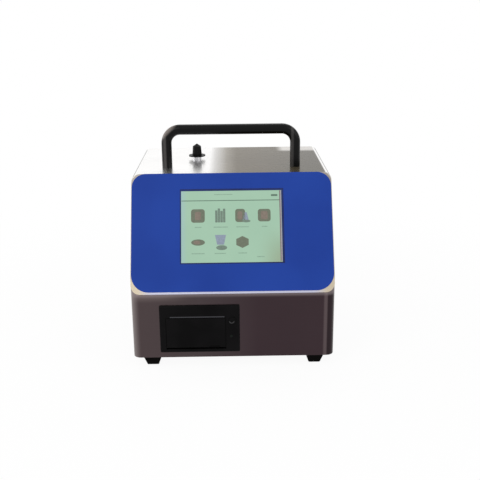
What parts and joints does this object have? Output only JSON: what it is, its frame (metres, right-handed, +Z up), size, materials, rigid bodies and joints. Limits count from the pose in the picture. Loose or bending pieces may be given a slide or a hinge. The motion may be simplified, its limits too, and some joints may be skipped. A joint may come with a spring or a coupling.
{
  "type": "airborne particle counter",
  "caption": "Bench-top airborne particle counter: stainless case with tilted blue touch panel, panel printer, carrying handle and capped sampling port.",
  "frame": {"origin": "on the floor, at the centre of the instrument's box", "axes": "+X to the viewer's right across the front, +Y to the rear, +Z up"},
  "size_m": [0.23, 0.2378, 0.2657],
  "materials": {
    "stainless": "fine brushed, bright",
    "panel_metal": "satin anodised",
    "panel_blue": "satin printed film",
    "screen_glass": "clear, glossy",
    "display_body": "backlit display",
    "zinc_sheet": "zinc plated",
    "plated_steel": "bright plated",
    "handle_black": "black satin coat",
    "port_metal": "turned",
    "cap_black": "moulded, satin",
    "rubber_black": "matt",
    "hose_clear": "translucent silicone",
    "block_alloy": "black anodised",
    "housing_black": "moulded, satin",
    "motor_steel": "drawn can",
    "filter_white": "moulded",
    "circuit_green": "solder resist",
    "supply_metal": "pressed, plated",
    "brass_posts": "turned",
    "printer_black": "moulded, half gloss",
    "head_ceramic": "fired",
    "lamp_lens": "smoked lens",
    "paper_white": "smooth"
  },
  "bodies": {
    "case": {"base_plate": "stainless", "base_screws": "plated_steel", "board_standoffs": "brass_posts", "carry_handle": "handle_black", "case_shell": "stainless", "detector_housing": "housing_black", "display_bracket": "zinc_sheet", "display_module": "display_body", "display_nuts": "plated_steel", "exhaust_hose": "hose_clear", "exhaust_port": "port_metal", "fan_frame": "housing_black", "fan_guard": "plated_steel", "fan_screws": "plated_steel", "filter_capsule": "filter_white", "foot_front_left": "rubber_black", "foot_front_right": "rubber_black", "foot_nuts": "plated_steel", "foot_rear_left": "rubber_black", "foot_rear_right": "rubber_black", "foot_screws": "plated_steel", "front_overlay": "panel_blue", "front_plate": "panel_metal", "handle_screws": "plated_steel", "handle_washers": "plated_steel", "inlet_nozzle": "port_metal", "inlet_nut": "port_metal", "inlet_pins": "plated_steel", "inlet_screws": "plated_steel", "inlet_seal": "rubber_black", "laser_module": "block_alloy", "main_board": "circuit_green", "paper_roll": "paper_white", "power_inlet": "housing_black", "power_supply": "supply_metal", "print_head": "head_ceramic", "printer_board": "circuit_green", "printer_frame": "printer_black", "pump_bracket": "zinc_sheet", "pump_head": "housing_black", "pump_hose": "hose_clear", "pump_motor": "motor_steel", "rear_panel": "stainless", "rear_screws": "plated_steel", "sample_tube": "hose_clear", "sensor_block": "block_alloy", "sensor_bracket": "zinc_sheet", "sensor_hose": "hose_clear", "serial_port": "supply_metal", "status_lens": "lamp_lens", "switch_housing": "housing_black", "tear_bar": "plated_steel", "touch_glass": "screen_glass"},
    "printer_door": {"printer_door": "printer_black"},
    "platen": {"platen_roller": "rubber_black", "platen_shaft": "plated_steel"},
    "feed_button": {"feed_button": "printer_black"},
    "power_rocker": {"switch_rocker": "housing_black"},
    "fan_rotor": {"fan_impeller": "housing_black"},
    "port_cap": {"inlet_cap": "cap_black"}
  },
  "joints": [
    {"name": "printer_door_hinge", "type": "hinge", "parent": "case", "child": "printer_door", "pos_m": [-0.0381, -0.11465, 0.0284], "axis": [1, 0, 0], "range_deg": [0, 85]},
    {"name": "platen_spin", "type": "hinge", "parent": "printer_door", "child": "platen", "pos_m": [-0.0381, -0.10865, 0.0579], "axis": [1, 0, 0], "continuous": true},
    {"name": "feed_button_press", "type": "slide", "parent": "case", "child": "feed_button", "axis": [0, 1, 0], "range_m": [0, 0.001], "stiffness_N_per_m": 300, "springref_m": -0.0005},
    {"name": "power_rocker_tilt", "type": "hinge", "parent": "case", "child": "power_rocker", "pos_m": [-0.075, 0.10685, 0.09], "axis": [1, 0, 0], "range_deg": [0, 16]},
    {"name": "fan_spin", "type": "hinge", "parent": "case", "child": "fan_rotor", "pos_m": [0.058, 0.10535, 0.162], "axis": [0, 1, 0], "continuous": true},
    {"name": "cap_pull", "type": "slide", "parent": "case", "child": "port_cap", "axis": [0, 0, 1], "range_m": [0, 0.06]}
  ]
}
